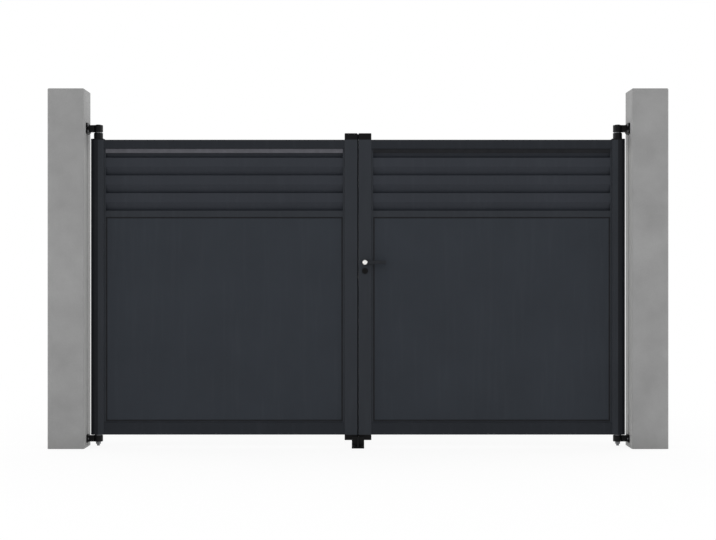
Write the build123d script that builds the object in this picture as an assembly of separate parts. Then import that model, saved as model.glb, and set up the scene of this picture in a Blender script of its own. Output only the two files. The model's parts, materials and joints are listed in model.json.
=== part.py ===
from build123d import *
import os

# Double-leaf swing gate of aluminium sections, hung between two masonry pillars.
# Millimetres. Origin at the centre of the left pillar's foot, +X along the gate,
# +Y inward, the way the leaves open, +Z up. The left half is drawn in place and
# the right half is its mirror image about the middle of the passage.

# Pillars and the passage between them.
passage_width = 3000
pillar_side = 200
pillar_rise = 275
pillar_arris = 5

# Leaf outline and its gaps to the ground, the pillar and the other leaf.
ground_gap = 70
leaf_height = 1630
leaf_depth = 50
pillar_gap = 21
meeting_gap = 6

# Frame sections.
hinge_stile_width = 74
meeting_stile_width = 71
stile_wall = 3
stile_corner = 3
top_rail_height = 50
bottom_rail_height = 66
rail_setback = 2
rail_wall = 2.5
rail_corner = 2

# Lips along the inner edges of the frame, a channel for the infill.
stile_lip = 10
rail_lip = 8
lip_step = 8
lip_wall = 3
channel_play = 0.2
end_play = 0.5

# Infill: louvre blades above a mid rail, a flat panel below it.
blade_count = 3
blade_nose = 50
blade_gap = 48
blade_overlap = 8
blade_tail = 14
blade_return = 7
blade_bend = 3
blade_wall = 2
mid_rail_height = 26
mid_rail_wall = 2.5
mid_rail_lip = 8
panel_thickness = 20

# Hinges: wall brackets, pivot pins and the pivot caps in the hinge stile.
pivot_setback = 62
pin_radius = 8
pin_play = 0.05
pin_end_play = 0.3
collar_radius = 20
collar_play = 0.6
boss_radius = 25
boss_height = 38
cap_plate = 6
plug_length = 42
plug_play = 0.15
plate_thickness = 8
plate_corner = 6
upper_plate_width = 88
upper_plate_height = 60
lower_plate_width = 60
lower_plate_height = 44
arm_thickness = 26
arm_fillet = 4
eye_edge = 1.5
upper_anchor_radius = 4.5
upper_anchor_edge = 12
upper_anchor_rise = 17
lower_anchor_radius = 3.2
lower_anchor_edge = 7
upper_eye_height = 39
lower_eye_height = 34
eye_gap = 5
pin_head_radius = 13
pin_head_height = 3
pin_engagement = 58
lower_pin_engagement = 36
stud_end = 8
nut_across_flats = 24
nut_height = 13

# Caps on the ends of the meeting stiles.
top_cap_height = 36
bottom_cap_height = 30
cap_round = 4

# Floor stop in front of the meeting stiles.
stop_width = 68
stop_reach = 46
stop_base = 8
stop_height = 60
stop_wall = 10
stop_rib = 10
stop_edge = 3
buffer_thickness = 6.6
buffer_width = 60
buffer_height = 20
buffer_play = 0.4
stop_hole_radius = 5.5
stop_hole_spacing = 42
stop_hole_inset = 12

# Lock and lever handle in the middle of the right meeting stile.
lever_height = 1022
lever_drop_to_key = 47
rose_radius = 18
rose_thickness = 8
rose_edge = 2
hub_radius = 13
hub_edge = 2.5
hub_length = 30
hub_gap = 1
neck_radius = 8
neck_play = 0.05
grip_length = 116
grip_width = 20
grip_thickness = 11
grip_root = 4
grip_round = 4
grip_end_round = 3
spindle_side = 8
stile_bore_radius = 12
key_barrel_radius = 11
key_rose_radius = 16
key_rose_thickness = 9
key_slot_width = 3
key_slot_height = 11
key_slot_depth = 12
lock_plate_width = 20
lock_plate_height = 180
strike_opening_width = 12
strike_opening_height = 26

# Levels and lines that follow from the sizes above.
half_depth = leaf_depth / 2
left_jamb = pillar_side / 2
gate_centre = left_jamb + passage_width / 2
leaf_outer = left_jamb + pillar_gap
leaf_inner = gate_centre - meeting_gap / 2
infill_left = leaf_outer + hinge_stile_width
infill_right = leaf_inner - meeting_stile_width
leaf_bottom = ground_gap
leaf_top = leaf_bottom + leaf_height
pillar_height = leaf_top + pillar_rise
infill_bottom = leaf_bottom + bottom_rail_height
infill_top = leaf_top - top_rail_height
blade_pitch = blade_nose + blade_gap
mid_rail_top = infill_top - blade_count * blade_pitch - blade_gap
mid_rail_bottom = mid_rail_top - mid_rail_height
lip_face = half_depth - lip_step
channel_half = lip_face - lip_wall
infill_half = channel_half - channel_play
pivot_x = left_jamb + pivot_setback
lock_x = gate_centre + meeting_gap / 2 + meeting_stile_width / 2
key_height = lever_height - lever_drop_to_key
right_edge = gate_centre + meeting_gap / 2
middle = Plane(origin=(gate_centre, 0, 0), z_dir=(1, 0, 0))


def span(low, high):
    """Centre and length of the stretch between two limits."""
    return (low + high) / 2, high - low


def block(x, y, z):
    """Box between a pair of limits on each axis."""
    limits = [span(*pair) for pair in (x, y, z)]
    return Pos(*[centre for centre, _ in limits]) * Box(*[length for _, length in limits])


def upright(x, y, radius, z):
    """Cylinder along Z between two levels."""
    centre, length = span(*z)
    return Pos(x, y, centre) * Cylinder(radius, length)


def crosswise(x, z, radius, y):
    """Cylinder along Y, through the leaf."""
    centre, length = span(*y)
    return Pos(x, centre, z) * Rot(90, 0, 0) * Cylinder(radius, length)


def half_round(inset):
    """Hinge stile section, a flat body with a half-round outer edge, drawn in by inset."""
    nose_x = leaf_outer + half_depth
    centre, length = span(nose_x, infill_left - inset)
    nose = Pos(nose_x, 0) * Circle(half_depth - inset)
    return nose + Pos(centre, 0) * Rectangle(length, leaf_depth - 2 * inset)


def square_section(inset):
    """Meeting stile section, a box with rounded corners, drawn in by inset."""
    centre, length = span(infill_right + inset, leaf_inner - inset)
    corner = max(stile_corner - inset, 0.5)
    return Pos(centre, 0) * RectangleRounded(length, leaf_depth - 2 * inset, corner)


def stile(section, lip_x):
    """Full-height hollow stile with a pair of lips beside the infill."""
    tube = Pos(0, 0, leaf_bottom) * extrude(section(0) - section(stile_wall), leaf_height)
    for y in ((channel_half, lip_face), (-lip_face, -channel_half)):
        tube += block(lip_x, y, (infill_bottom, infill_top))
    return tube


def rail(z, lip_z):
    """Hollow rail between the stiles, with lips towards the infill."""
    level, height = span(*z)
    depth = leaf_depth - 2 * rail_setback
    outer = RectangleRounded(depth, height, rail_corner)
    inner = Rectangle(depth - 2 * rail_wall, height - 2 * rail_wall)
    profile = Plane(origin=(infill_left, 0, level), x_dir=(0, 1, 0), z_dir=(1, 0, 0)) * (outer - inner)
    tube = extrude(profile, infill_right - infill_left)
    for y in ((channel_half, lip_face), (-lip_face, -channel_half)):
        tube += block((infill_left + stile_lip, infill_right - stile_lip), y, lip_z)
    return tube


def mid_rail():
    """Slim hollow rail under the louvre, with lips that hold the panel's top edge."""
    x = (infill_left, infill_right)
    tube = block(x, (-infill_half, infill_half), (mid_rail_bottom - mid_rail_lip, mid_rail_top))
    core = infill_half - mid_rail_wall
    tube -= block(x, (-core, core), (mid_rail_bottom + mid_rail_wall, mid_rail_top - mid_rail_wall))
    seat = panel_thickness / 2 + channel_play
    return tube - block(x, (-seat, seat), (mid_rail_bottom - mid_rail_lip, mid_rail_bottom))


def blade(level, nose):
    """Bent louvre blade: upright nose with a return, web sloping down and back, upright tail."""
    back = infill_half - blade_wall / 2
    foot = level - blade_gap - blade_overlap
    line = [(-back, level), (back, foot), (back, foot - blade_tail)]
    if nose > 0:
        top = level + nose - blade_wall / 2
        line = [(blade_return - back, top), (-back, top)] + line
    across = Plane(origin=(infill_left + end_play, 0, 0), x_dir=(0, 1, 0), z_dir=(1, 0, 0))
    section = across * trace(FilletPolyline(*line, radius=blade_bend), blade_wall)
    return extrude(section, infill_right - infill_left - 2 * end_play)


def louvre():
    """Head blade under the top rail and the full blades below it."""
    blades = [blade(infill_top, 0)]
    for number in range(1, blade_count + 1):
        blades.append(blade(infill_top - number * blade_pitch, blade_nose))
    x = (infill_left, infill_right)
    blades[0] -= block(x, (-half_depth, half_depth), (infill_top, leaf_top))
    blades[-1] -= block(x, (-half_depth, half_depth), (mid_rail_bottom, mid_rail_top))
    return Compound(children=blades)


def panel():
    """Flat infill panel between the bottom rail and the mid rail."""
    half = panel_thickness / 2
    x = (infill_left + end_play, infill_right - end_play)
    return block(x, (-half, half), (infill_bottom, mid_rail_bottom))


def plug(section, z):
    """Plug that fills the end of a stile."""
    return Pos(0, 0, z[0]) * extrude(section(stile_wall + plug_play), z[1] - z[0])


def upper_pivot_cap():
    """Cap on top of the hinge stile: plug, end plate and a bored boss for the pin."""
    cap = plug(half_round, (leaf_top - plug_length, leaf_top))
    cap += Pos(0, 0, leaf_top) * extrude(half_round(0), cap_plate)
    cap += upright(pivot_x, 0, boss_radius, (leaf_top, leaf_top + boss_height))
    bore_end = leaf_top + boss_height - pin_engagement
    return cap - upright(pivot_x, 0, pin_radius + pin_play, (bore_end, leaf_top + boss_height))


def lower_pivot_cap():
    """Plug in the foot of the hinge stile with a blind bore that sits on the pin."""
    cap = plug(half_round, (leaf_bottom, leaf_bottom + plug_length))
    return cap - upright(pivot_x, 0, pin_radius + pin_play, (leaf_bottom, leaf_bottom + lower_pin_engagement))


def bracket(z, width, height, anchors, anchor_radius):
    """Cast wall bracket: drilled plate on the jamb, filleted arm, and an eye around the pivot pin."""
    level = sum(z) / 2
    half_arm = arm_thickness / 2
    face = left_jamb + plate_thickness
    on_jamb = Plane(origin=(left_jamb, 0, level), x_dir=(0, 1, 0), z_dir=(1, 0, 0))
    outline = RectangleRounded(width, height, plate_corner)
    for y, rise in anchors:
        outline -= Pos(y, rise) * Circle(anchor_radius)
    plate = extrude(on_jamb * outline, plate_thickness)
    body = plate + block((left_jamb, pivot_x), (-half_arm, half_arm), z)
    roots = [edge for edge in body.edges().filter_by(Axis.Z) if is_arm_root(edge, face, half_arm)]
    body = fillet(roots, arm_fillet)
    eye = upright(pivot_x, 0, boss_radius, z)
    body += chamfer(eye.edges().filter_by(GeomType.CIRCLE), eye_edge)
    return body - upright(pivot_x, 0, pin_radius, z)


def is_arm_root(edge, face, half_arm):
    """Whether an upright edge is where the bracket's arm leaves the plate."""
    centre = edge.center()
    return abs(centre.X - face) < 0.01 and abs(abs(centre.Y) - half_arm) < 0.01


upper_eye = (leaf_top + boss_height + eye_gap, leaf_top + boss_height + eye_gap + upper_eye_height)
lower_eye = (leaf_bottom - eye_gap - lower_eye_height, leaf_bottom - eye_gap)
upper_reach = upper_plate_width / 2 - upper_anchor_edge
lower_reach = lower_plate_width / 2 - lower_anchor_edge
upper_anchors = [(y, z) for y in (-upper_reach, upper_reach) for z in (-upper_anchor_rise, upper_anchor_rise)]
lower_anchors = [(-lower_reach, 0), (lower_reach, 0)]


def upper_pin():
    """Pivot pin through the upper eye, with a head above and a collar below."""
    foot = upper_eye[0] - eye_gap - pin_engagement + pin_end_play
    pin = upright(pivot_x, 0, pin_radius, (foot, upper_eye[1]))
    pin += upright(pivot_x, 0, pin_head_radius, (upper_eye[1], upper_eye[1] + pin_head_height))
    return pin + upright(pivot_x, 0, collar_radius, (upper_eye[0] - eye_gap + collar_play, upper_eye[0]))


def lower_pin():
    """Height-adjusting pivot pin: point in the leaf, collar, nut and stud below the eye."""
    top = leaf_bottom + lower_pin_engagement - pin_end_play
    pin = upright(pivot_x, 0, pin_radius, (stud_end, top))
    pin += upright(pivot_x, 0, collar_radius, (lower_eye[1], lower_eye[1] + eye_gap - collar_play))
    hexagon = RegularPolygon(nut_across_flats / 2, 6, major_radius=False)
    return pin + Pos(pivot_x, 0, lower_eye[0] - nut_height) * extrude(hexagon, nut_height)


def meeting_cap(end, height, direction):
    """Block on one end of the meeting stile, outer edges rounded, with a plug in the stile."""
    z = sorted((end, end + direction * height))
    cap = Pos(0, 0, z[0]) * extrude(square_section(0), height)
    face = cap.faces().sort_by(Axis.Z)[-1 if direction > 0 else 0]
    cap = fillet(face.edges(), cap_round)
    return cap + plug(square_section, sorted((end, end - direction * plug_length)))


def pillar():
    """Plain square pillar with eased edges."""
    body = block((-left_jamb, left_jamb), (-left_jamb, left_jamb), (0, pillar_height))
    edges = body.edges().filter_by(Axis.Z) + body.faces().sort_by(Axis.Z)[-1].edges()
    return chamfer(edges, pillar_arris)


stop_back = -half_depth - buffer_play - buffer_thickness
stop_front = stop_back - stop_reach


def floor_stop():
    """Ribbed angle that stands on the ground in front of the meeting stiles."""
    x = (gate_centre - stop_width / 2, gate_centre + stop_width / 2)
    body = block(x, (stop_front, stop_back), (0, stop_base))
    wall = block(x, (stop_back - stop_wall, stop_back), (0, stop_height))
    body += fillet(wall.faces().sort_by(Axis.Z)[-1].edges(), stop_edge)
    wall_front = stop_back - stop_wall
    points = [(stop_front, stop_base), (wall_front, stop_base), (wall_front, stop_height)]
    rib = make_face(Polyline(*[(gate_centre - stop_rib / 2, y, z) for y, z in points], close=True))
    body += extrude(rib, stop_rib, dir=(1, 0, 0))
    for side in (-1, 1):
        hole_x = gate_centre + side * stop_hole_spacing / 2
        body -= upright(hole_x, stop_front + stop_hole_inset, stop_hole_radius, (0, stop_base))
    return body


def stop_buffer():
    """Rubber pad on the back of the floor stop."""
    top = stop_height - 2
    x = (gate_centre - buffer_width / 2, gate_centre + buffer_width / 2)
    return block(x, (stop_back, stop_back + buffer_thickness), (top - buffer_height, top))


def lock_plate(edge, inward):
    """Lock plate let into the edge of a meeting stile."""
    x = sorted((edge, edge + inward * stile_wall))
    half = lock_plate_width / 2
    z = (lever_height - lock_plate_height / 2, lever_height + lock_plate_height / 2)
    return block(x, (-half, half), z)


def strike_plate():
    """Lock plate of the left leaf with its latch and bolt openings."""
    plate = lock_plate(leaf_inner, -1)
    half = strike_opening_width / 2
    tall = strike_opening_height / 2
    for level in (lever_height, key_height):
        plate -= block((leaf_inner - stile_wall, leaf_inner), (-half, half), (level - tall, level + tall))
    return plate


def eased(turned, side, edge):
    """Turned piece with its outer rim chamfered."""
    rim = turned.faces().sort_by(Axis.Y)[-1 if side > 0 else 0].edges()
    return chamfer(rim, edge)


def handle_side(side):
    """Rose, lever hub, lever grip and key rose on one face of the right meeting stile."""
    face = half_depth
    rose_y = sorted((side * face, side * (face + rose_thickness)))
    rose = eased(crosswise(lock_x, lever_height, rose_radius, rose_y), side, rose_edge)
    rose -= crosswise(lock_x, lever_height, neck_radius + neck_play, rose_y)
    hub_start = face + rose_thickness + hub_gap
    hub_end = hub_start + hub_length
    hub = crosswise(lock_x, lever_height, hub_radius, sorted((side * hub_start, side * hub_end)))
    hub = eased(hub, side, hub_edge)
    hub += crosswise(lock_x, lever_height, neck_radius, sorted((side * face, side * hub_start)))
    half = spindle_side / 2
    hub += block(
        (lock_x - half, lock_x + half), sorted((0, side * face)), (lever_height - half, lever_height + half)
    )
    key_y = sorted((side * face, side * (face + key_rose_thickness)))
    key_rose = eased(crosswise(lock_x, key_height, key_rose_radius, key_y), side, rose_edge)
    key_rose -= crosswise(lock_x, key_height, key_barrel_radius, key_y)
    grip_y = side * (hub_end - grip_root - grip_thickness / 2)
    root = Plane(origin=(lock_x, grip_y, lever_height), x_dir=(0, 1, 0), z_dir=(1, 0, 0))
    grip = extrude(root * RectangleRounded(grip_thickness, grip_width, grip_round), grip_length)
    grip = fillet(grip.faces().sort_by(Axis.X)[-1].edges(), grip_end_round)
    grip -= crosswise(lock_x, lever_height, hub_radius, sorted((0, side * 2 * hub_end)))
    return rose, hub, grip, key_rose


def key_barrel():
    """Round key cylinder through the right meeting stile, a key slot in each end."""
    end = half_depth + key_rose_thickness
    barrel = crosswise(lock_x, key_height, key_barrel_radius, (-end, end))
    half = key_slot_width / 2
    tall = key_slot_height / 2
    for y in ((-end, key_slot_depth - end), (end - key_slot_depth, end)):
        barrel -= block((lock_x - half, lock_x + half), y, (key_height - tall, key_height + tall))
    return barrel


left_half = {
    "pillar": pillar(),
    "upper_hinge_bracket": bracket(
        upper_eye, upper_plate_width, upper_plate_height, upper_anchors, upper_anchor_radius
    ),
    "lower_hinge_bracket": bracket(
        lower_eye, lower_plate_width, lower_plate_height, lower_anchors, lower_anchor_radius
    ),
    "upper_pivot_pin": upper_pin(),
    "lower_pivot_pin": lower_pin(),
    "hinge_stile": stile(half_round, (infill_left, infill_left + stile_lip)),
    "meeting_stile": stile(square_section, (infill_right - stile_lip, infill_right)),
    "top_rail": rail((infill_top, leaf_top), (infill_top - rail_lip, infill_top)),
    "bottom_rail": rail((leaf_bottom, infill_bottom), (infill_bottom, infill_bottom + rail_lip)),
    "mid_rail": mid_rail(),
    "infill_panel": panel(),
    "louvre_blades": louvre(),
    "upper_pivot_cap": upper_pivot_cap(),
    "lower_pivot_cap": lower_pivot_cap(),
    "meeting_top_cap": meeting_cap(leaf_top, top_cap_height, 1),
    "meeting_bottom_cap": meeting_cap(leaf_bottom, bottom_cap_height, -1),
}
outer_rose, outer_hub, outer_grip, outer_key_rose = handle_side(-1)
inner_rose, inner_hub, inner_grip, inner_key_rose = handle_side(1)

pieces = {}
for name, shape in left_half.items():
    pieces["left_" + name] = shape
    pieces["right_" + name] = mirror(shape, about=middle)
pieces["left_meeting_stile"] -= lock_plate(leaf_inner, -1)
pieces["right_meeting_stile"] -= lock_plate(right_edge, 1)
stile_y = (-half_depth, half_depth)
pieces["right_meeting_stile"] -= crosswise(lock_x, lever_height, stile_bore_radius, stile_y)
pieces["right_meeting_stile"] -= crosswise(lock_x, key_height, key_barrel_radius, stile_y)
pieces["strike_plate"] = strike_plate()
pieces["lock_face_plate"] = lock_plate(right_edge, 1)
pieces["outer_lever_rose"] = outer_rose
pieces["outer_lever_hub"] = outer_hub
pieces["outer_lever_grip"] = outer_grip
pieces["outer_key_rose"] = outer_key_rose
pieces["inner_lever_rose"] = inner_rose
pieces["inner_lever_hub"] = inner_hub
pieces["inner_lever_grip"] = inner_grip
pieces["inner_key_rose"] = inner_key_rose
pieces["key_barrel"] = key_barrel()
pieces["floor_stop"] = floor_stop()
pieces["floor_stop_buffer"] = stop_buffer()

os.makedirs("parts", exist_ok=True)
for name, shape in pieces.items():
    export_step(shape, f"parts/{name}.step")
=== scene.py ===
"""Looks of the swing gate: finishes, rubber seals, fasteners, studio and camera.

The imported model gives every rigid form. This script gives each of its nodes a
procedural finish, adds the thin rubber trim and the fasteners, and sets up the
light and the camera of the photograph.
"""

from __future__ import annotations

import json
import logging
import math
from dataclasses import dataclass, replace
from enum import Enum

import bmesh
import bpy
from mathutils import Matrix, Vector

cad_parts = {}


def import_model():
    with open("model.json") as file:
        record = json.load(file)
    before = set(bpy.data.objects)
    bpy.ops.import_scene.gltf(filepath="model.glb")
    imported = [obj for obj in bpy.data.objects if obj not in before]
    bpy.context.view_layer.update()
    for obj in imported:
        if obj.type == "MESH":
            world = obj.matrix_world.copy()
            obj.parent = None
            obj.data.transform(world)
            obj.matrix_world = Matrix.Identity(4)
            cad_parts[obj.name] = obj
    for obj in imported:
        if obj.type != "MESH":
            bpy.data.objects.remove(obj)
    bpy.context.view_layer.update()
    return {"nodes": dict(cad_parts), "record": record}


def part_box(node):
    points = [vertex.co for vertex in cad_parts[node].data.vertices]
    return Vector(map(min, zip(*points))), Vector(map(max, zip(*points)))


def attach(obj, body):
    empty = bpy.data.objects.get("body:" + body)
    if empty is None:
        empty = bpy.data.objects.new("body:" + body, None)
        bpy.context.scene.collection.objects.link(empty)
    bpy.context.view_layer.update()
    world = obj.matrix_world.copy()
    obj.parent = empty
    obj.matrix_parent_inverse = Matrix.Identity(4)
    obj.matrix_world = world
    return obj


LOG = logging.getLogger("swing_gate")
MM = 0.001
Socket = bpy.types.NodeSocket
Colour = tuple[float, float, float, float]
Point = tuple[float, float, float]

# Places of the colour sockets on a Mix node: share, lower colour, upper colour, and the result.
MIX_SHARE, MIX_UNDER, MIX_OVER, MIX_RESULT = 0, 6, 7, 2
# Places of the number sockets on a Random Value node: lowest, highest, and the result.
RANDOM_LOW, RANDOM_HIGH, RANDOM_RESULT = 2, 3, 1
# Noise value at which a pattern is at its strongest, and how many finer layers of noise it has.
NOISE_PEAK, NOISE_LAYERS = 0.72, 4.0
# How far the softened normal agrees with the flat one where an edge is fully rubbed, and where it isn't.
EDGE_RUBBED, EDGE_WHOLE = 0.75, 0.995
BEVEL_SAMPLES = 4


class Side(Enum):
    """A half of the gate, as seen from the street."""

    LEFT = "left"
    RIGHT = "right"

    @property
    def body(self) -> str:
        """Name of the leaf's body."""
        return f"{self.value}_leaf"

    @property
    def inward(self) -> int:
        """Direction along X from this pillar into the passage."""
        return 1 if self is Side.LEFT else -1


class Face(Enum):
    """A face of a leaf, by the sign of its outward direction along Y."""

    STREET = -1
    GARDEN = 1


class Head(Enum):
    """Kind of fastener head."""

    HEXAGON = "hexagon head on a washer"
    SOCKET = "flush head with a hexagon socket"


def linear(code: str, shade: float = 1.0) -> Colour:
    """Turns an sRGB hex code into linear light.

    Args:
        code: Six hex digits.
        shade: Factor on the light, to darken or lighten the colour.

    Returns:
        Red, green, blue and an alpha of one.
    """
    parts = [int(code[i : i + 2], 16) / 255 for i in (0, 2, 4)]
    light = [p / 12.92 if p <= 0.04045 else ((p + 0.055) / 1.055) ** 2.4 for p in parts]
    return (light[0] * shade, light[1] * shade, light[2] * shade, 1.0)


def per_metre(size_mm: float) -> float:
    """Texture scale that gives a pattern of a real size in millimetres."""
    return 1 / (size_mm * MM)


class Graph:
    """A node tree that is filled one node at a time."""

    def __init__(self, tree: bpy.types.NodeTree) -> None:
        """Starts from an empty tree."""
        self.tree = tree
        self.tree.nodes.clear()

    def add(
        self,
        kind: str,
        feeds: dict[str | int, object] | None = None,
        out: str | int = 0,
        **settings: object,
    ) -> Socket | None:
        """Adds one node with its settings and links.

        Args:
            kind: Blender's name of the node type.
            feeds: Input name or number to a value, or to the socket that feeds it.
            out: Name or number of the output to hand back.
            settings: Properties of the node itself.

        Returns:
            The chosen output, or None on a node that has none.
        """
        node = self.tree.nodes.new(kind)
        for name, value in settings.items():
            setattr(node, name, value)
        for key, value in (feeds or {}).items():
            if isinstance(value, Socket):
                self.tree.links.new(value, node.inputs[key])
            else:
                node.inputs[key].default_value = value
        return node.outputs[out] if node.outputs else None


@dataclass(frozen=True)
class Pattern:
    """Soft noise: the real size of a patch and the levels it drifts between.

    Noise below the clear value gives the low level.
    """

    size_mm: float
    low: float = 0.0
    high: float = 1.0
    clear: float = 0.3


@dataclass(frozen=True)
class Relief:
    """Depth of a surface's relief, how strongly it shows, and the radius of its softened edges."""

    depth_mm: float
    strength: float
    edge_mm: float


@dataclass(frozen=True)
class Finish:
    """A surface finish; each kind adds its own nodes in shade()."""

    name: str
    colour: str
    roughness: float

    def build(self) -> bpy.types.Material:
        """Makes the material.

        Returns:
            The material with its nodes in place.
        """
        material = bpy.data.materials.new(self.name)
        material.use_nodes = True
        graph = Graph(material.node_tree)
        place = graph.add("ShaderNodeTexCoord", out="Object")
        graph.add("ShaderNodeOutputMaterial", {"Surface": self.shade(graph, place)})
        material.diffuse_color = linear(self.colour)
        return material

    def shade(self, graph: Graph, place: Socket) -> Socket:
        """Adds the nodes that make this finish.

        Args:
            graph: The material's tree.
            place: Object coordinates, in metres.

        Returns:
            The shader.
        """
        raise NotImplementedError

    def patches(self, graph: Graph, place: Socket, pattern: Pattern) -> Socket:
        """Gives a value that drifts between two levels in soft patches.

        Args:
            graph: The material's tree.
            place: Coordinates in metres.
            pattern: The size of a patch and the levels.

        Returns:
            The value.
        """
        cells = {"Vector": place, "Scale": per_metre(pattern.size_mm), "Detail": NOISE_LAYERS}
        noise = graph.add("ShaderNodeTexNoise", cells, "Fac")
        span = {"Value": noise, "From Min": pattern.clear, "From Max": NOISE_PEAK}
        levels = {"To Min": pattern.low, "To Max": pattern.high}
        return graph.add("ShaderNodeMapRange", span | levels, "Result")

    def dullness(self, graph: Graph, place: Socket, drift: Pattern) -> Socket:
        """Gives the roughness, which drifts in patches around the finish's own level.

        Args:
            graph: The material's tree.
            place: Coordinates in metres.
            drift: The size of a patch, and the levels as steps from the finish's roughness.

        Returns:
            The roughness.
        """
        levels = replace(drift, low=self.roughness + drift.low, high=self.roughness + drift.high)
        return self.patches(graph, place, levels)

    def coats(self, graph: Graph, ground: Colour, *layers: tuple[Socket, Colour]) -> Socket:
        """Lays coats of colour over a ground colour, in order.

        Args:
            graph: The material's tree.
            ground: The lowest colour.
            layers: For each coat, the share of it that shows and its colour.

        Returns:
            The colour of the whole.
        """
        colour: Socket | Colour = ground
        for share, coat in layers:
            feeds = {MIX_SHARE: share, MIX_UNDER: colour, MIX_OVER: coat}
            colour = graph.add("ShaderNodeMix", feeds, MIX_RESULT, data_type="RGBA")
        return colour

    def off_middle(self, graph: Graph, place: Socket, middle: float) -> Socket:
        """Measures how far to either side of the gate's middle a place is.

        Args:
            graph: The material's tree.
            place: Object coordinates, in metres.
            middle: The middle's X, in metres.

        Returns:
            The distance along X, in metres.
        """
        across = graph.add("ShaderNodeSeparateXYZ", {"Vector": place}, "X")
        offset = graph.add("ShaderNodeMath", {0: across, 1: middle}, operation="SUBTRACT")
        return graph.add("ShaderNodeMath", {0: offset}, operation="ABSOLUTE")

    def rubbed_and_highlit_edges(self, graph: Graph, reach_mm: float, cover: Socket | float) -> Socket:
        """Finds the sharp edges, where hands and weather rub them, and where the powder coat also gets a
        painted edge highlight.

        Args:
            graph: The material's tree.
            reach_mm: How far from an edge the rubbing goes.
            cover: Share of the edge that is rubbed.

        Returns:
            The cover on an edge, zero on a flat face.
        """
        soft = graph.add("ShaderNodeBevel", {"Radius": reach_mm * MM}, samples=BEVEL_SAMPLES)
        flat = graph.add("ShaderNodeNewGeometry", out="Normal")
        turn = graph.add("ShaderNodeVectorMath", {0: soft, 1: flat}, "Value", operation="DOT_PRODUCT")
        span = {"Value": turn, "From Min": EDGE_RUBBED, "From Max": EDGE_WHOLE}
        edge = graph.add("ShaderNodeMapRange", span | {"To Min": 1.0, "To Max": 0.0})
        return graph.add("ShaderNodeMath", {0: edge, 1: cover}, operation="MULTIPLY")

    def skin(self, graph: Graph, height: Socket, relief: Relief) -> Socket:
        """Gives the surface its relief and its softened edges.

        Args:
            graph: The material's tree.
            height: Height pattern.
            relief: The relief's sizes.

        Returns:
            The normal.
        """
        soft = graph.add("ShaderNodeBevel", {"Radius": relief.edge_mm * MM}, samples=BEVEL_SAMPLES)
        sizes = {"Strength": relief.strength, "Distance": relief.depth_mm * MM}
        return graph.add("ShaderNodeBump", {"Height": height, "Normal": soft} | sizes)


@dataclass(frozen=True)
class PowderCoat(Finish):
    """Polyester powder baked on metal: an even matt film over a fine orange-peel skin.

    It gives the eye soft broad highlights, a barely clouded colour, faint streaks
    where rain runs down, and paler edges, partly thin film and partly a painted edge highlight.
    """

    # This paler colour shows in the rain runs, and on the edges as thin film and as a painted edge highlight.
    thin: str = "565A60"
    gloss: float = 0.12
    tones: tuple[float, float] = (0.94, 1.06)
    cloud: Pattern = Pattern(320)
    runs: Pattern = Pattern(22, high=0.035, clear=0.52)
    run_stretch: Point = (1.0, 1.0, 0.06)
    edge_wear_and_highlight: Pattern = Pattern(35, high=0.55, clear=0.45)
    wear_and_highlight_reach_mm: float = 1.6
    drift: Pattern = Pattern(60, -0.05, 0.06)
    peel_mm: float = 1.1
    peel: Relief = Relief(0.05, 0.3, 0.8)

    def shade(self, graph: Graph, place: Socket) -> Socket:
        """Adds the powder coat's nodes.

        Args:
            graph: The material's tree.
            place: Object coordinates, in metres.

        Returns:
            The shader.
        """
        thin = linear(self.thin)
        deep, light = (linear(self.colour, tone) for tone in self.tones)
        cloud = self.patches(graph, place, self.cloud)
        # Rain runs are some 20 mm wide and many times as long.
        down = graph.add("ShaderNodeMapping", {"Vector": place, "Scale": self.run_stretch})
        runs = self.patches(graph, down, self.runs)
        # Paler edges: rubbed thin film, and also a painted edge highlight.
        worn_and_highlit = self.rubbed_and_highlit_edges(graph, self.wear_and_highlight_reach_mm, self.patches(graph, place, self.edge_wear_and_highlight))
        film = ((cloud, light), *self.bands(graph, place), (runs, thin), (worn_and_highlit, thin))
        colour = self.coats(graph, deep, *film)
        # The real orange peel is finer than 1 mm; it is drawn as coarse as it needs to show.
        peel = graph.add("ShaderNodeTexNoise", {"Vector": place, "Scale": per_metre(self.peel_mm)}, "Fac")
        return graph.add(
            "ShaderNodeBsdfPrincipled",
            {
                "Base Color": colour,
                "Roughness": self.dullness(graph, place, self.drift),
                "Normal": self.skin(graph, peel, self.peel),
                "Specular IOR Level": self.gloss,
            },
        )

    def bands(self, graph: Graph, place: Socket) -> tuple[tuple[Socket, Colour], ...]:
        """Finds the bands of the piece that have another colour.

        Args:
            graph: The material's tree.
            place: Object coordinates, in metres.

        Returns:
            A coat for each band: where it shows, and its colour.
        """
        return ()


@dataclass(frozen=True)
class ShadedEdgePowderCoat(PowderCoat):
    """Powder coat of the hinge stiles, with painted shade along the half-round edge.

    It gives the eye a dark upright band of painted shade beside the pillar, and a fine painted shadow line
    where the band ends.
    """

    # Painted shade: a dark colour on the rounded hinge edge, and a darker painted shadow line where that band
    # ends.
    edge: str = "121419"
    seam_shadow: str = "08090A"
    width: float = 41 * MM
    seam_half: float = 0.6 * MM

    def bands(self, graph: Graph, place: Socket) -> tuple[tuple[Socket, Colour], ...]:
        """Finds the painted shade along the edge and its painted shadow line on both leaves, by the distance
        from the gate's middle.

        Args:
            graph: The material's tree.
            place: Object coordinates, in metres.

        Returns:
            A coat for each band: where it shows, and its colour.
        """
        start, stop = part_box("left_hinge_stile")[0].x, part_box("right_hinge_stile")[1].x
        reach = (stop - start) / 2 - self.width
        away = self.off_middle(graph, place, (start + stop) / 2)
        # Painted shade outside this reach, and a painted shadow line where it ends.
        edge_shade = graph.add("ShaderNodeMath", {0: away, 1: reach}, operation="GREATER_THAN")
        shadow_line = graph.add("ShaderNodeMath", {0: away, 1: reach, 2: self.seam_half}, operation="COMPARE")
        return ((edge_shade, linear(self.edge)), (shadow_line, linear(self.seam_shadow)))


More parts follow.
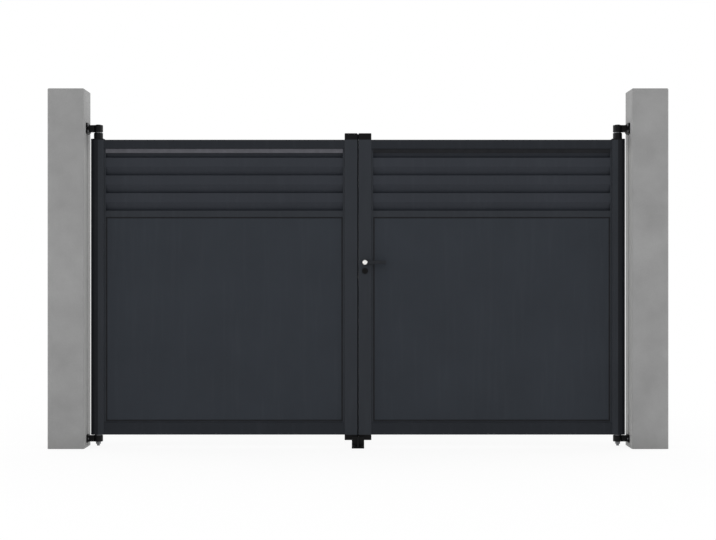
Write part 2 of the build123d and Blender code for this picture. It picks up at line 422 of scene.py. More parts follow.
@dataclass(frozen=True)
class CementRender(Finish):
    """Cement render floated smooth: sand grain, cloudy drying, pinholes, chipped arrises.

    It gives the eye a dry matt grey that drifts in tone over a hand's width, with a
    darker damp foot, and painted light that makes the faces looking at the passage paler
    below the top of the leaves, against the shade the closed leaves cast there. A
    pinhole's core and rim are shares of the spacing of the holes.
    """

    sand: str = "6F6F6E"
    hole: str = "5A5A59"
    damp: str = "7C7C7B"
    chipped: str = "A6A5A2"
    # Painted light: this paler colour lifts the shade the closed leaves cast on the faces that look at the
    # passage.
    jamb_painted_light: str = "AFAFAE"
    jamb_light_share: float = 0.9
    jamb_light_fade: float = 90 * MM
    face_depth: float = 1 * MM
    gloss: float = 0.2
    tones: tuple[float, float] = (0.88, 1.08)
    cloud: Pattern = Pattern(180)
    grain: Pattern = Pattern(2.4, clear=0.4)
    sand_share: float = 0.22
    hole_spacing_mm: float = 26
    hole_core: float = 0.03
    hole_rim: float = 0.055
    hole_share: float = 0.45
    tide: Pattern = Pattern(120, -0.02, 0.06)
    damp_rise: float = 90 * MM
    damp_share: float = 0.45
    chips: Pattern = Pattern(14, high=0.7, clear=0.5)
    chip_reach_mm: float = 5
    drift: Pattern = Pattern(90, -0.06, 0.05)
    relief: Relief = Relief(0.5, 0.35, 3)

    def shade(self, graph: Graph, place: Socket) -> Socket:
        """Adds the render's nodes.

        Args:
            graph: The material's tree.
            place: Object coordinates, in metres.

        Returns:
            The shader.
        """
        deep, light = (linear(self.colour, tone) for tone in self.tones)
        cloud = self.patches(graph, place, self.cloud)
        # Sand in the mix is 1 to 2 mm, and pinholes are some 2 mm wide.
        grain = self.patches(graph, place, self.grain)
        sanded = graph.add("ShaderNodeMath", {0: grain, 1: self.sand_share}, operation="MULTIPLY")
        cells = {"Vector": place, "Scale": per_metre(self.hole_spacing_mm)}
        centre = graph.add("ShaderNodeTexVoronoi", cells, "Distance")
        near = {"Value": centre, "From Min": self.hole_core, "From Max": self.hole_rim}
        pinhole = graph.add("ShaderNodeMapRange", near | {"To Min": self.hole_share, "To Max": 0.0})
        height = graph.add("ShaderNodeSeparateXYZ", {"Vector": place}, "Z")
        wander = self.patches(graph, place, self.tide)
        tide = graph.add("ShaderNodeMath", {0: height, 1: wander}, operation="SUBTRACT")
        rise = {"Value": tide, "From Min": 0.0, "From Max": self.damp_rise}
        foot = graph.add("ShaderNodeMapRange", rise | {"To Min": self.damp_share, "To Max": 0.0})
        chips = self.rubbed_and_highlit_edges(graph, self.chip_reach_mm, self.patches(graph, place, self.chips))
        colour = self.coats(
            graph,
            deep,
            (cloud, light),
            # Painted light on the faces that look at the passage, below the top of the leaves.
            (self.jamb_light(graph, place), linear(self.jamb_painted_light)),
            (sanded, linear(self.sand)),
            (pinhole, linear(self.hole)),
            (foot, linear(self.damp)),
            (chips, linear(self.chipped)),
        )
        relief = graph.add("ShaderNodeMath", {0: grain, 1: pinhole}, operation="SUBTRACT")
        return graph.add(
            "ShaderNodeBsdfPrincipled",
            {
                "Base Color": colour,
                "Roughness": self.dullness(graph, place, self.drift),
                "Normal": self.skin(graph, relief, self.relief),
                "Specular IOR Level": self.gloss,
            },
        )

    def jamb_light(self, graph: Graph, place: Socket) -> Socket:
        """Finds the faces that look at the passage, up to the top of the leaves, which get the painted light.

        Args:
            graph: The material's tree.
            place: Object coordinates, in metres.

        Returns:
            The share of painted light.
        """
        start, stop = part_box("left_pillar")[1].x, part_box("right_pillar")[0].x
        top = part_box("left_hinge_stile")[1].z
        away = self.off_middle(graph, place, (start + stop) / 2)
        height = graph.add("ShaderNodeSeparateXYZ", {"Vector": place}, "Z")
        reach = (stop - start) / 2 + self.face_depth
        facing = graph.add("ShaderNodeMath", {0: away, 1: reach}, operation="LESS_THAN")
        fade = {"Value": height, "From Min": top - self.jamb_light_fade, "From Max": top}
        below = graph.add("ShaderNodeMapRange", fade | {"To Min": self.jamb_light_share, "To Max": 0.0})
        return graph.add("ShaderNodeMath", {0: facing, 1: below}, operation="MULTIPLY")


@dataclass(frozen=True)
class Moulding(Finish):
    """Moulded nylon or rubber: a spark-grained black skin that greys in the weather.

    It gives the eye a deep soft black with a dull bloom and slightly greyer edges.
    """

    bloom: str = "151516"
    grain_mm: float = 0.7
    gloss: float = 0.1
    greyed: Pattern = Pattern(28, high=0.35)
    edge_reach_mm: float = 1.2
    edge_share: float = 0.4
    drift: Pattern = Pattern(28, -0.06, 0.08)
    relief: Relief = Relief(0.06, 0.2, 0.8)

    def shade(self, graph: Graph, place: Socket) -> Socket:
        """Adds the moulding's nodes.

        Args:
            graph: The material's tree.
            place: Object coordinates, in metres.

        Returns:
            The shader.
        """
        bloom = linear(self.bloom)
        greyed = self.patches(graph, place, self.greyed)
        edges = self.rubbed_and_highlit_edges(graph, self.edge_reach_mm, self.edge_share)
        colour = self.coats(graph, linear(self.colour), (greyed, bloom), (edges, bloom))
        grain = graph.add("ShaderNodeTexNoise", {"Vector": place, "Scale": per_metre(self.grain_mm)}, "Fac")
        return graph.add(
            "ShaderNodeBsdfPrincipled",
            {
                "Base Color": colour,
                "Roughness": self.dullness(graph, place, self.drift),
                "Normal": self.skin(graph, grain, self.relief),
                "Specular IOR Level": self.gloss,
            },
        )


@dataclass(frozen=True)
class BareMetal(Finish):
    """Plated, brushed or polished steel: fine drawn lines and duller handled patches.

    It gives the eye a metal glint that is broken along the brushing.
    """

    dull: str = "6B6B6D"
    relief: Relief = Relief(0.02, 0.25, 0.6)
    handled: Pattern = Pattern(16, high=0.4)
    line_mm: float = 0.5
    line_stretch: Point = (0.04, 1.0, 0.04)
    drift: Pattern = Pattern(0.5, -0.04, 0.08)

    def shade(self, graph: Graph, place: Socket) -> Socket:
        """Adds the metal's nodes.

        Args:
            graph: The material's tree.
            place: Object coordinates, in metres.

        Returns:
            The shader.
        """
        handled = self.patches(graph, place, self.handled)
        colour = self.coats(graph, linear(self.colour), (handled, linear(self.dull)))
        # Brushing lines run up the plates and round the turned hubs.
        along = graph.add("ShaderNodeMapping", {"Vector": place, "Scale": self.line_stretch})
        lines = {"Vector": along, "Scale": per_metre(self.line_mm)}
        brushed = graph.add("ShaderNodeTexNoise", lines, "Fac")
        return graph.add(
            "ShaderNodeBsdfPrincipled",
            {
                "Base Color": colour,
                "Metallic": 1.0,
                "Roughness": self.dullness(graph, along, self.drift),
                "Normal": self.skin(graph, brushed, self.relief),
            },
        )


# A finish for each material slot of the record, and four for pieces that differ from their slot's finish:
# the hinge stiles have painted shade along their rounded edge, the top and bottom rails are a shade darker,
# the leaves' seals are a greyer rubber, and the left head seal is paler, a painted highlight under the top
# rail.
HINGE_STILE = "anthracite_hinge_stile"
RAIL = "anthracite_rail"
SEAL = "grey_rubber"
HIGHLIGHT_SEAL = "highlight_painted_rubber"
RUBBER = "rubber"
FINISHES: dict[str, Finish] = {
    "rendered_masonry": CementRender("cement_render", "929292", 0.88),
    "anthracite_frame": PowderCoat("anthracite_powder_coat_stile", "292C31", 0.48),
    # The hinge stiles' finish paints shade along their rounded edge.
    HINGE_STILE: ShadedEdgePowderCoat("anthracite_powder_coat_hinge_stile", "292C31", 0.48),
    RAIL: PowderCoat("anthracite_powder_coat_rail", "1E2126", 0.48),
    "anthracite_panel": PowderCoat("anthracite_powder_coat_panel", "2A2E34", 0.52),
    "anthracite_louvre": PowderCoat("anthracite_powder_coat_louvre", "2C2F35", 0.48),
    "anthracite_fitting": PowderCoat("anthracite_powder_coat_lever", "202226", 0.42),
    "black_steel": PowderCoat(
        "black_powder_coat", "040405", 0.46, "1C1C1D", edge_wear_and_highlight=Pattern(35, high=0.5, clear=0.45)
    ),
    "zinc_steel": BareMetal("dull_zinc_plate", "6A6B6D", 0.42, "4A4A4A"),
    "stainless_steel": BareMetal("brushed_stainless_steel", "B4B4B4", 0.34, "8C8C8A"),
    "polished_steel": BareMetal(
        "polished_stainless_steel", "F2F2EF", 0.24, "BEBEBA", Relief(0.02, 0.1, 0.6)
    ),
    "black_plastic": Moulding("black_moulded_nylon", "040405", 0.55),
    RUBBER: Moulding("black_rubber", "0A0A0B", 0.72, "1A1A1A", 1.2),
    SEAL: Moulding("grey_rubber", "17181B", 0.68, "2A2B2E", 1.2),
    # Painted highlight: this pale rubber on the left leaf's head seal stands in for a bright line under the
    # top rail.
    HIGHLIGHT_SEAL: Moulding("highlight_painted_rubber", "4E4E53", 0.78, "65656B", 1.2),
}


@dataclass
class Workshop:
    """What every sub-assembly draws on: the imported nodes, their slots and the finishes."""

    nodes: dict[str, bpy.types.Object]
    slots: dict[str, str]
    finishes: dict[str, bpy.types.Material]

    def dress(self, *names: str, finish: str | None = None) -> None:
        """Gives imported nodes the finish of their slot, or another one.

        Args:
            names: The nodes.
            finish: Key of the finish, where it isn't the slot's.
        """
        for name in names:
            key = finish or self.slots[name]
            mesh = self.nodes[name].data
            mesh.materials.clear()
            mesh.materials.append(self.finishes[key])
            LOG.info("%s: %s", name, key)

    def seal(
        self, name: str, rings: list[list[Point]], looped: bool, body: str, finish: str = SEAL
    ) -> None:
        """Makes a rubber seal from equal rings of points.

        Args:
            name: Name of the piece.
            rings: The rings in order, in metres.
            looped: Whether the last ring joins the first; otherwise both ends are capped.
            body: Body that carries the piece.
            finish: Key of the rubber's finish.
        """
        size = len(rings[0])
        count = len(rings)
        faces: list[tuple[int, ...]] = []
        for i in range(count if looped else count - 1):
            a, b = i * size, (i + 1) % count * size
            faces += [(a + j, a + (j + 1) % size, b + (j + 1) % size, b + j) for j in range(size)]
        if not looped:
            faces += [tuple(range(size)), tuple(range((count - 1) * size, count * size))]
        mesh = bpy.data.meshes.new(name)
        mesh.from_pydata([point for ring in rings for point in ring], [], faces)
        work = bmesh.new()
        work.from_mesh(mesh)
        bmesh.ops.recalc_face_normals(work, faces=work.faces[:])
        work.to_mesh(mesh)
        work.free()
        mesh.materials.append(self.finishes[finish])
        self.fit(name, mesh, body)

    def fit(self, name: str, mesh: bpy.types.Mesh, body: str) -> None:
        """Puts a finished mesh on its body.

        Args:
            name: Name of the piece.
            mesh: The mesh, in place.
            body: Body that carries the piece.
        """
        piece = bpy.data.objects.new(name, mesh)
        bpy.context.scene.collection.objects.link(piece)
        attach(piece, body)
        LOG.info("%s: %d faces on %s", name, len(mesh.polygons), body)


@dataclass(frozen=True)
class Fixing:
    """One fastener: the point its head sits on and the direction the head faces."""

    place: Point
    faces: Point


@dataclass(frozen=True)
class HeadSize:
    """Radius and height of a fastener's head, and of its washer."""

    radius: float
    height: float
    washer_radius: float = 0.0
    washer_height: float = 0.0


@dataclass
class FixingSet:
    """Alike fasteners of one body, made by one geometry tree.

    The chamfer, crown, rim, key and key lift are shares of the head's height or radius.
    """

    name: str
    body: str
    slot: str
    head: Head
    fixings: list[Fixing]
    size: HeadSize
    chamfer: float = 0.2
    crown: float = 0.78
    rim: float = 0.8
    key: float = 0.5
    key_lift: float = 0.35
    round_sides: int = 28
    hexagon_sides: int = 6
    seed: int = 7

    def hexagon_head(self, graph: Graph, given: bpy.types.NodeOutputs) -> Socket:
        """Adds a washer with a chamfered hexagon head on it.

        Args:
            graph: The geometry tree.
            given: The tree's named inputs.

        Returns:
            The mesh of one fastener.
        """
        thick = given["Washer Height"]
        shank = graph.add("ShaderNodeMath", {0: given["Height"], 1: 1 - self.chamfer}, operation="MULTIPLY")
        bevel = graph.add("ShaderNodeMath", {0: given["Height"], 1: self.chamfer}, operation="MULTIPLY")
        narrow = graph.add("ShaderNodeMath", {0: given["Radius"], 1: self.crown}, operation="MULTIPLY")
        disc = {"Vertices": self.round_sides, "Radius": given["Washer Radius"], "Depth": thick}
        washer = graph.add("GeometryNodeMeshCylinder", disc)
        flats = {"Vertices": self.hexagon_sides, "Radius": given["Radius"], "Depth": shank}
        prism = graph.add("GeometryNodeMeshCylinder", flats)
        taper = {"Radius Top": narrow, "Radius Bottom": given["Radius"], "Depth": bevel}
        crown = graph.add("GeometryNodeMeshCone", {"Vertices": self.hexagon_sides} | taper)
        middle = graph.add("ShaderNodeMath", {0: thick, 1: 0.5}, operation="MULTIPLY")
        seat = graph.add("ShaderNodeMath", {0: shank, 1: 0.5, 2: thick}, operation="MULTIPLY_ADD")
        top = graph.add("ShaderNodeMath", {0: thick, 1: shank}, operation="ADD")
        bolt = graph.add("GeometryNodeJoinGeometry")
        for mesh, lift in ((washer, middle), (prism, seat), (crown, top)):
            shift = graph.add("ShaderNodeCombineXYZ", {"Z": lift})
            raised = graph.add("GeometryNodeTransform", {"Geometry": mesh, "Translation": shift})
            graph.tree.links.new(raised, bolt.node.inputs[0])
        return bolt

    def socket_head(self, graph: Graph, given: bpy.types.NodeOutputs) -> Socket:
        """Adds a low round head with a hexagon socket cut into it.

        Args:
            graph: The geometry tree.
            given: The tree's named inputs.

        Returns:
            The mesh of one fastener.
        """
        narrow = graph.add("ShaderNodeMath", {0: given["Radius"], 1: self.rim}, operation="MULTIPLY")
        key = graph.add("ShaderNodeMath", {0: given["Radius"], 1: self.key}, operation="MULTIPLY")
        taper = {"Radius Top": narrow, "Radius Bottom": given["Radius"], "Depth": given["Height"]}
        low = graph.add("GeometryNodeMeshCone", {"Vertices": self.round_sides} | taper)
        flats = {"Vertices": self.hexagon_sides, "Radius": key, "Depth": given["Height"]}
        drill = graph.add("GeometryNodeMeshCylinder", flats)
        lift = graph.add("ShaderNodeMath", {0: given["Height"], 1: self.key_lift}, operation="MULTIPLY")
        shift = graph.add("ShaderNodeCombineXYZ", {"Z": lift})
        cut = graph.add("GeometryNodeTransform", {"Geometry": drill, "Translation": shift})
        return graph.add("GeometryNodeMeshBoolean", {0: low, 1: cut}, operation="DIFFERENCE")

    def tree(self) -> bpy.types.NodeTree:
        """Builds the geometry tree.

        Returns:
            A tree with named inputs that puts a fastener on every point.
        """
        tree = bpy.data.node_groups.new(f"{self.name}_tree", "GeometryNodeTree")
        ports = {"Geometry": "Geometry", "Radius": "Float", "Height": "Float", "Washer Radius": "Float"}
        ports |= {"Washer Height": "Float", "Seed": "Int", "Finish": "Material"}
        for label, kind in ports.items():
            tree.interface.new_socket(label, in_out="INPUT", socket_type=f"NodeSocket{kind}")
        tree.interface.new_socket("Geometry", in_out="OUTPUT", socket_type="NodeSocketGeometry")
        graph = Graph(tree)
        given = graph.add("NodeGroupInput").node.outputs
        shapes = {Head.HEXAGON: self.hexagon_head, Head.SOCKET: self.socket_head}
        one = shapes[self.head](graph, given)
        faces = graph.add("GeometryNodeInputNamedAttribute", {"Name": "faces"}, data_type="FLOAT_VECTOR")
        aim = graph.add("FunctionNodeAlignRotationToVector", {"Vector": faces}, axis="Z")
        span = {RANDOM_LOW: 0.0, RANDOM_HIGH: math.tau, "Seed": given["Seed"]}
        turn = graph.add("FunctionNodeRandomValue", span, RANDOM_RESULT, data_type="FLOAT")
        spin = graph.add("FunctionNodeAxisAngleToRotation", {"Axis": (0, 0, 1), "Angle": turn})
        whole = graph.add("FunctionNodeRotateRotation", {0: aim, 1: spin}, rotation_space="LOCAL")
        placed = graph.add(
            "GeometryNodeInstanceOnPoints",
            {"Points": given["Geometry"], "Instance": one, "Rotation": whole},
        )
        real = graph.add("GeometryNodeRealizeInstances", {0: placed})
        coated = graph.add("GeometryNodeSetMaterial", {0: real, "Material": given["Finish"]})
        graph.add("NodeGroupOutput", {0: coated})
        return tree

    def build(self, shop: Workshop) -> None:
        """Makes the fasteners as one plain mesh.

        Args:
            shop: The workshop.
        """
        points = bpy.data.meshes.new(f"{self.name}_points")
        points.from_pydata([fixing.place for fixing in self.fixings], [], [])
        faces = points.attributes.new("faces", "FLOAT_VECTOR", "POINT")
        for item, fixing in zip(faces.data, self.fixings):
            item.vector = fixing.faces
        source = bpy.data.objects.new(f"{self.name}_points", points)
        bpy.context.scene.collection.objects.link(source)
        modifier = source.modifiers.new("fixings", "NODES")
        modifier.node_group = self.tree()
        values = {
            "Radius": self.size.radius,
            "Height": self.size.height,
            "Washer Radius": self.size.washer_radius,
            "Washer Height": self.size.washer_height,
            "Seed": self.seed,
            "Finish": shop.finishes[self.slot],
        }
        for port in modifier.node_group.interface.items_tree:
            if port.in_out == "INPUT" and port.name in values:
                modifier[port.identifier] = values[port.name]
        bpy.context.view_layer.update()
        mesh = bpy.data.meshes.new_from_object(source.evaluated_get(bpy.context.evaluated_depsgraph_get()))
        bpy.data.objects.remove(source)
        mesh.name = self.name
        shop.fit(self.name, mesh, self.body)


@dataclass
class PillarPair:
    """The two rendered pillars."""

    shop: Workshop

    def build(self) -> None:
        """Dresses both pillars."""
        self.shop.dress(*[f"{side.value}_pillar" for side in Side])


@dataclass
class HingeSet:
    """Wall brackets, pivot pins and the anchors that hold the brackets."""

    shop: Workshop
    plate: float = 8 * MM
    upper_edge: float = 12 * MM
    upper_rise: float = 17 * MM
    upper_bolt: HeadSize = HeadSize(7.5 * MM, 5.3 * MM, 9.0 * MM, 1.6 * MM)
    lower_edge: float = 7 * MM
    lower_bolt: HeadSize = HeadSize(4.6 * MM, 3.6 * MM, 5.6 * MM, 1.2 * MM)

    def build(self) -> None:
        """Dresses the hinges and adds their anchors."""
        for side in Side:
            for level in ("upper", "lower"):
                self.shop.dress(f"{side.value}_{level}_hinge_bracket", f"{side.value}_{level}_pivot_pin")
        upper = self.anchors("upper", self.upper_edge, (-self.upper_rise, self.upper_rise))
        lower = self.anchors("lower", self.lower_edge, (0.0,))
        for level, fixings, bolt in (("upper", upper, self.upper_bolt), ("lower", lower, self.lower_bolt)):
            name = f"{level}_anchor_bolts"
            FixingSet(name, "pillars", "zinc_steel", Head.HEXAGON, fixings, bolt).build(self.shop)

    def anchors(self, level: str, edge: float, rows: tuple[float, ...]) -> list[Fixing]:
        """Places the anchors of both brackets at one level.

        Args:
            level: Which bracket, upper or lower.
            edge: Distance of an anchor from the plate's upright edge.
            rows: Heights of the rows above the plate's middle.

        Returns:
            The anchors of both plates.
        """
        found: list[Fixing] = []
        for side in Side:
            low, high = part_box(f"{side.value}_{level}_hinge_bracket")
            x = (low.x if side is Side.LEFT else high.x) + side.inward * self.plate
            middle = (low.z + high.z) / 2
            for y in (low.y + edge, high.y - edge):
                found += [Fixing((x, y, middle + row), (side.inward, 0, 0)) for row in rows]
        return found


@dataclass
class Leaf:
    """One leaf: frame, infill, caps, the rubber wedges around the panel and the seal over the louvre.

    The lip is the one under the top rail's street face, which carries that seal.
    """

    shop: Workshop
    side: Side
    wedge_width: float = 8 * MM
    wedge_rise: float = 3.6 * MM
    seat: float = 0.1 * MM
    lip_drop: float = 8 * MM
    lip_setback: float = 6 * MM
    lip_end: float = 10 * MM
    head_hang: float = 23 * MM
    head_wall: float = 2 * MM

    def build(self) -> None:
        """Dresses the leaf, seals its panel on both faces and hangs the seal over its louvre."""
        rails = ("top_rail", "bottom_rail")
        caps = ("upper_pivot_cap", "lower_pivot_cap", "meeting_top_cap", "meeting_bottom_cap")
        others = ("meeting_stile", "mid_rail", "infill_panel", "louvre_blades") + caps
        self.shop.dress(*[f"{self.side.value}_{part}" for part in others])
        self.shop.dress(f"{self.side.value}_hinge_stile", finish=HINGE_STILE)
        self.shop.dress(*[f"{self.side.value}_{part}" for part in rails], finish=RAIL)
        for face in Face:
            self.wedge(face)
        # The left leaf's head seal is paler, a painted highlight under the top rail; the right one's is the
        # darker grey rubber.
        self.head_seal(HIGHLIGHT_SEAL if self.side is Side.LEFT else SEAL)

    def head_seal(self, finish: str) -> None:
        """Hangs a flat rubber strip on the top rail's street lip, over the head of the louvre.

        Args:
            finish: Key of the rubber's finish.
        """
        low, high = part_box(f"{self.side.value}_top_rail")
        lip = low.y + self.lip_setback
        top = low.z + self.lip_drop
        # Out from the lip and down from the rail, as shares of the strip's wall and hang.
        profile = ((0.0, 0.0), (1.0, 0.0), (1.0, 0.93), (0.75, 1.0), (0.25, 1.0), (0.0, 0.96))
        section = [(lip - out * self.head_wall, top - down * self.head_hang) for out, down in profile]
        ends = (low.x + self.lip_end, high.x - self.lip_end)
        rings = [[(x, y, z) for y, z in section] for x in ends]
        self.shop.seal(f"{self.side.value}_head_seal", rings, False, self.side.body, finish)

    def wedge(self, face: Face) -> None:
        """Makes the rubber wedge around the panel on one face, with mitred corners.

        Args:
            face: The face it seals.
        """
        side = self.side.value
        low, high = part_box(f"{side}_infill_panel")
        plane = (low.y if face is Face.STREET else high.y) + face.value * self.seat
        hinge_low, hinge_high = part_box(f"{side}_hinge_stile")
        meeting_low, meeting_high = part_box(f"{side}_meeting_stile")
        x = sorted((hinge_low.x, hinge_high.x, meeting_low.x, meeting_high.x))[1:3]
        z = (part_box(f"{side}_bottom_rail")[1].z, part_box(f"{side}_mid_rail")[0].z)
        # Across the wedge and up from the panel, as shares of its width and rise.
        profile = ((0.0, 0.0), (0.0, 1.0), (0.28, 1.0), (0.62, 0.8), (0.88, 0.42), (1.0, 0.0))
        rings: list[list[Point]] = []
        for column, row in ((0, 0), (1, 0), (1, 1), (0, 1)):
            into_x, into_z = 1 - 2 * column, 1 - 2 * row
            ring = []
            for across, up in profile:
                step = across * self.wedge_width
                y = plane + face.value * up * self.wedge_rise
                ring.append((x[column] + into_x * step, y, z[row] + into_z * step))
            rings.append(ring)
        name = f"{side}_{face.name.lower()}_panel_wedge"
        self.shop.seal(name, rings, True, self.side.body)


@dataclass
class MeetingEdge:
    """Where the leaves meet: lock plates, their screws, and a rubber bulb that closes the gap.

    The bulb stands on a flat foot, set back from the middle of the leaf's edge.
    """

    shop: Workshop
    setback: float = 16 * MM
    base: float = 9 * MM
    foot: float = 1.2 * MM
    bulb: float = 3.0 * MM
    touch: float = 0.05 * MM
    end_inset: float = 2 * MM
    bulb_steps: int = 10
    screw_inset: float = 10 * MM
    screw: HeadSize = HeadSize(4 * MM, 0.9 * MM)

    def build(self) -> None:
        """Dresses the lock plates and adds the screws and the bulb."""
        self.shop.dress("strike_plate", "lock_face_plate")
        self.seal()
        for plate, side in (("strike_plate", Side.LEFT), ("lock_face_plate", Side.RIGHT)):
            low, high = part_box(plate)
            x = high.x if side is Side.LEFT else low.x
            levels = (low.z + self.screw_inset, high.z - self.screw_inset)
            screws = [Fixing((x, 0.0, z), (side.inward, 0, 0)) for z in levels]
            name = f"{plate}_screws"
            FixingSet(name, side.body, "stainless_steel", Head.SOCKET, screws, self.screw).build(self.shop)

    def seal(self) -> None:
        """Makes the bulb as a straight run on the left leaf's edge."""
        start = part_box("left_meeting_stile")[1].x
        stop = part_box("right_meeting_stile")[0].x - self.touch
        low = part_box("left_meeting_bottom_cap")[0].z + self.end_inset
        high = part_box("left_meeting_top_cap")[1].z - self.end_inset
        shoulder = start + self.foot
        centre = (shoulder + stop) / 2
        section = [(start, -self.base / 2), (shoulder, -self.base / 2)]
        for i in range(self.bulb_steps + 1):
            turn = math.pi * (i / self.bulb_steps - 0.5)
            section.append((centre + (stop - centre) * math.cos(turn), self.bulb * math.sin(turn)))
        section += [(shoulder, self.base / 2), (start, self.base / 2)]
        rings = [[(x, self.setback + y, z) for x, y in section] for z in (low, high)]
        self.shop.seal("meeting_seal", rings, False, Side.LEFT.body)


@dataclass
class LeverLock:
    """Lever handle and key cylinder in the right leaf."""

    shop: Workshop
    faces: tuple[str, str] = ("outer", "inner")
    grub: HeadSize = HeadSize(2.6 * MM, 0.6 * MM)

    def build(self) -> None:
        """Dresses the lock and adds the levers' grub screws."""
        parts = ("lever_rose", "lever_hub", "lever_grip", "key_rose")
        self.shop.dress("key_barrel", *[f"{face}_{part}" for face in self.faces for part in parts])
        grubs: list[Fixing] = []
        for face in self.faces:
            low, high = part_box(f"{face}_lever_hub")
            grip_low, grip_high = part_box(f"{face}_lever_grip")
            under = ((low.x + high.x) / 2, (grip_low.y + grip_high.y) / 2, low.z)
            grubs.append(Fixing(under, (0, 0, -1)))
        name = "lever_grub_screws"
        FixingSet(name, "lever_handle", "stainless_steel", Head.SOCKET, grubs, self.grub).build(self.shop)


@dataclass
class FloorStop:
    """Ground stop under the meeting stiles, its buffer and its ground anchors."""

    shop: Workshop
    base: float = 8 * MM
    spacing: float = 42 * MM
    inset: float = 12 * MM
    bolt: HeadSize = HeadSize(8.5 * MM, 6.4 * MM, 10.5 * MM, 1.8 * MM)

    def build(self) -> None:
        """Dresses the stop and adds its anchors."""
        self.shop.dress("floor_stop", "floor_stop_buffer")
        low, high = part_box("floor_stop")
        middle = (low.x + high.x) / 2
        places = [(middle + half * self.spacing, low.y + self.inset, self.base) for half in (-0.5, 0.5)]
        anchors = [Fixing(place, (0, 0, 1)) for place in places]
        name = "floor_stop_anchors"
        FixingSet(name, "pillars", "black_steel", Head.HEXAGON, anchors, self.bolt).build(self.shop)


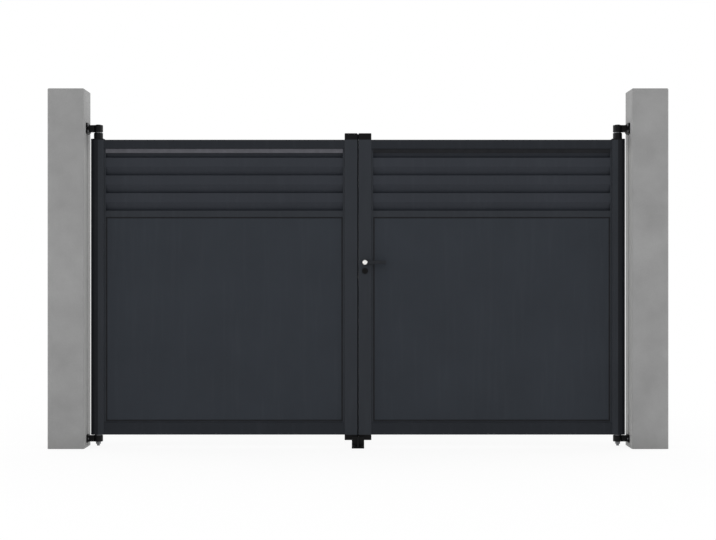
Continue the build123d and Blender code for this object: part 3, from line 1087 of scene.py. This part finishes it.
@dataclass
class Studio:
    """Pale floor, white surround and soft boxes.

    The floor bounces light as one colour and shows as another, and its shadow fades out
    with the distance from the gate. Reach, depth and rise place the four boxes beside it.
    """

    middle: float
    half_floor: float = 40.0
    bounce: str = "E4E4E4"
    pale: str = "F4F4F4"
    shadow: float = 0.12
    shadow_near: float = 2.2
    shadow_far: float = 6.0
    sky: float = 0.9
    aim_height: float = 0.95
    key_power: float = 30.0
    key_place: Point = (0.0, -6.0, 4.6)
    key_size: tuple[float, float] = (6.0, 3.0)
    side_power: float = 410.0
    reach: float = 12.0
    depth: float = 3.2
    rise: float = 2.5
    box: tuple[float, float] = (6.0, 6.0)

    def build(self) -> None:
        """Makes the floor, the surround and the lights."""
        self.floor()
        self.surround()
        self.soft_box("key_box", self.key_place, self.key_size, self.key_power)
        for side in Side:
            x = -side.inward * self.reach
            self.soft_box(f"{side.value}_fill", (x, -self.depth, self.rise), self.box, self.side_power)
            self.soft_box(f"{side.value}_back", (x, self.depth, self.rise), self.box, self.side_power)

    def shown(self, graph: Graph) -> Socket:
        """Finds the rays that show the white background: from the camera, off gloss, through glass.

        Args:
            graph: Tree of the floor or the surround.

        Returns:
            One for such a ray, zero for a ray that carries light.
        """
        rays = graph.add("ShaderNodeLightPath").node.outputs
        direct = {0: rays["Is Camera Ray"], 1: rays["Is Glossy Ray"]}
        either = graph.add("ShaderNodeMath", direct, operation="MAXIMUM")
        return graph.add("ShaderNodeMath", {0: either, 1: rays["Is Transmission Ray"]}, operation="MAXIMUM")

    def floor(self) -> None:
        """Makes a wide pale floor that reads white, with a soft shadow around the gate."""
        edge = self.half_floor
        corners = [(-edge, -edge, 0), (edge, -edge, 0), (edge, edge, 0), (-edge, edge, 0)]
        mesh = bpy.data.meshes.new("studio_floor")
        mesh.from_pydata(corners, [], [(0, 1, 2, 3)])
        material = bpy.data.materials.new("pale_floor")
        material.use_nodes = True
        # Only the lamps and the surround give light; the floor's white is for the eye alone.
        material.cycles.emission_sampling = "NONE"
        graph = Graph(material.node_tree)
        place = graph.add("ShaderNodeTexCoord", out="Object")
        ends = {0: place, 1: (self.middle, 0.0, 0.0)}
        away = graph.add("ShaderNodeVectorMath", ends, "Value", operation="DISTANCE")
        fade = {"Value": away, "From Min": self.shadow_near, "From Max": self.shadow_far}
        share = graph.add("ShaderNodeMapRange", fade | {"To Min": self.shadow, "To Max": 0.0})
        white = graph.add("ShaderNodeEmission", {"Color": (1, 1, 1, 1), "Strength": 1.0})
        paint = graph.add("ShaderNodeBsdfDiffuse", {"Color": linear(self.bounce)})
        pale = graph.add("ShaderNodeBsdfDiffuse", {"Color": linear(self.pale)})
        look = graph.add("ShaderNodeMixShader", {0: share, 1: white, 2: pale})
        both = graph.add("ShaderNodeMixShader", {0: self.shown(graph), 1: paint, 2: look})
        graph.add("ShaderNodeOutputMaterial", {"Surface": both})
        mesh.materials.append(material)
        floor = bpy.data.objects.new("studio_floor", mesh)
        bpy.context.scene.collection.objects.link(floor)
        LOG.info("studio_floor: %.0f m wide", 2 * edge)

    def surround(self) -> None:
        """Makes a surround that is white to the camera and dimmer as light."""
        world = bpy.data.worlds.new("studio_surround")
        world.use_nodes = True
        bpy.context.scene.world = world
        graph = Graph(world.node_tree)
        white = graph.add("ShaderNodeBackground", {"Color": (1, 1, 1, 1), "Strength": 1.0})
        dim = graph.add("ShaderNodeBackground", {"Color": (1, 1, 1, 1), "Strength": self.sky})
        both = graph.add("ShaderNodeMixShader", {0: self.shown(graph), 1: dim, 2: white})
        graph.add("ShaderNodeOutputWorld", {"Surface": both})
        LOG.info("studio_surround: strength %.2f", self.sky)

    def soft_box(self, name: str, offset: Point, size: tuple[float, float], power: float) -> None:
        """Hangs one soft box aimed at the gate.

        Args:
            name: Name of the light.
            offset: Place relative to the middle of the passage.
            size: Width and height in metres.
            power: Watts.
        """
        light = bpy.data.lights.new(name, "AREA")
        light.shape = "RECTANGLE"
        light.size, light.size_y = size
        light.energy = power
        lamp = bpy.data.objects.new(name, light)
        lamp.location = Vector((self.middle, 0.0, 0.0)) + Vector(offset)
        aim = Vector((self.middle, 0.0, self.aim_height)) - lamp.location
        lamp.rotation_euler = aim.to_track_quat("-Z", "Y").to_euler()
        bpy.context.scene.collection.objects.link(lamp)
        LOG.info("%s: %.0f W", name, power)


@dataclass
class PhotoCamera:
    """Camera of the photograph: level, square on, in front of the gate's middle."""

    middle: float
    distance: float = 8.144
    height: float = 0.98
    lens: float = 73.9
    sensor: float = 36.0

    def build(self) -> None:
        """Makes the camera and gives it to the scene."""
        data = bpy.data.cameras.new("photo_camera")
        data.sensor_width = self.sensor
        data.lens = self.lens
        camera = bpy.data.objects.new("photo_camera", data)
        camera.location = (self.middle, -self.distance, self.height)
        camera.rotation_euler = (math.pi / 2, 0.0, 0.0)
        bpy.context.scene.collection.objects.link(camera)
        bpy.context.scene.camera = camera
        LOG.info("photo_camera: %.1f mm lens, %.2f m from the gate", self.lens, self.distance)


def main() -> None:
    """Builds every part of the picture in order."""
    logging.basicConfig(level=logging.INFO, format="%(name)s %(message)s")
    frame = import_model()
    slots = {part["node"]: part["material_slot"] for part in frame["record"]["subparts"]}
    shop = Workshop(frame["nodes"], slots, {slot: finish.build() for slot, finish in FINISHES.items()})
    PillarPair(shop).build()
    HingeSet(shop).build()
    for side in Side:
        Leaf(shop, side).build()
    MeetingEdge(shop).build()
    LeverLock(shop).build()
    FloorStop(shop).build()
    middle = (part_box("left_pillar")[1].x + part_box("right_pillar")[0].x) / 2
    Studio(middle).build()
    PhotoCamera(middle).build()
    bpy.context.scene.view_settings.view_transform = "Standard"


if __name__ == "__main__":
    main()
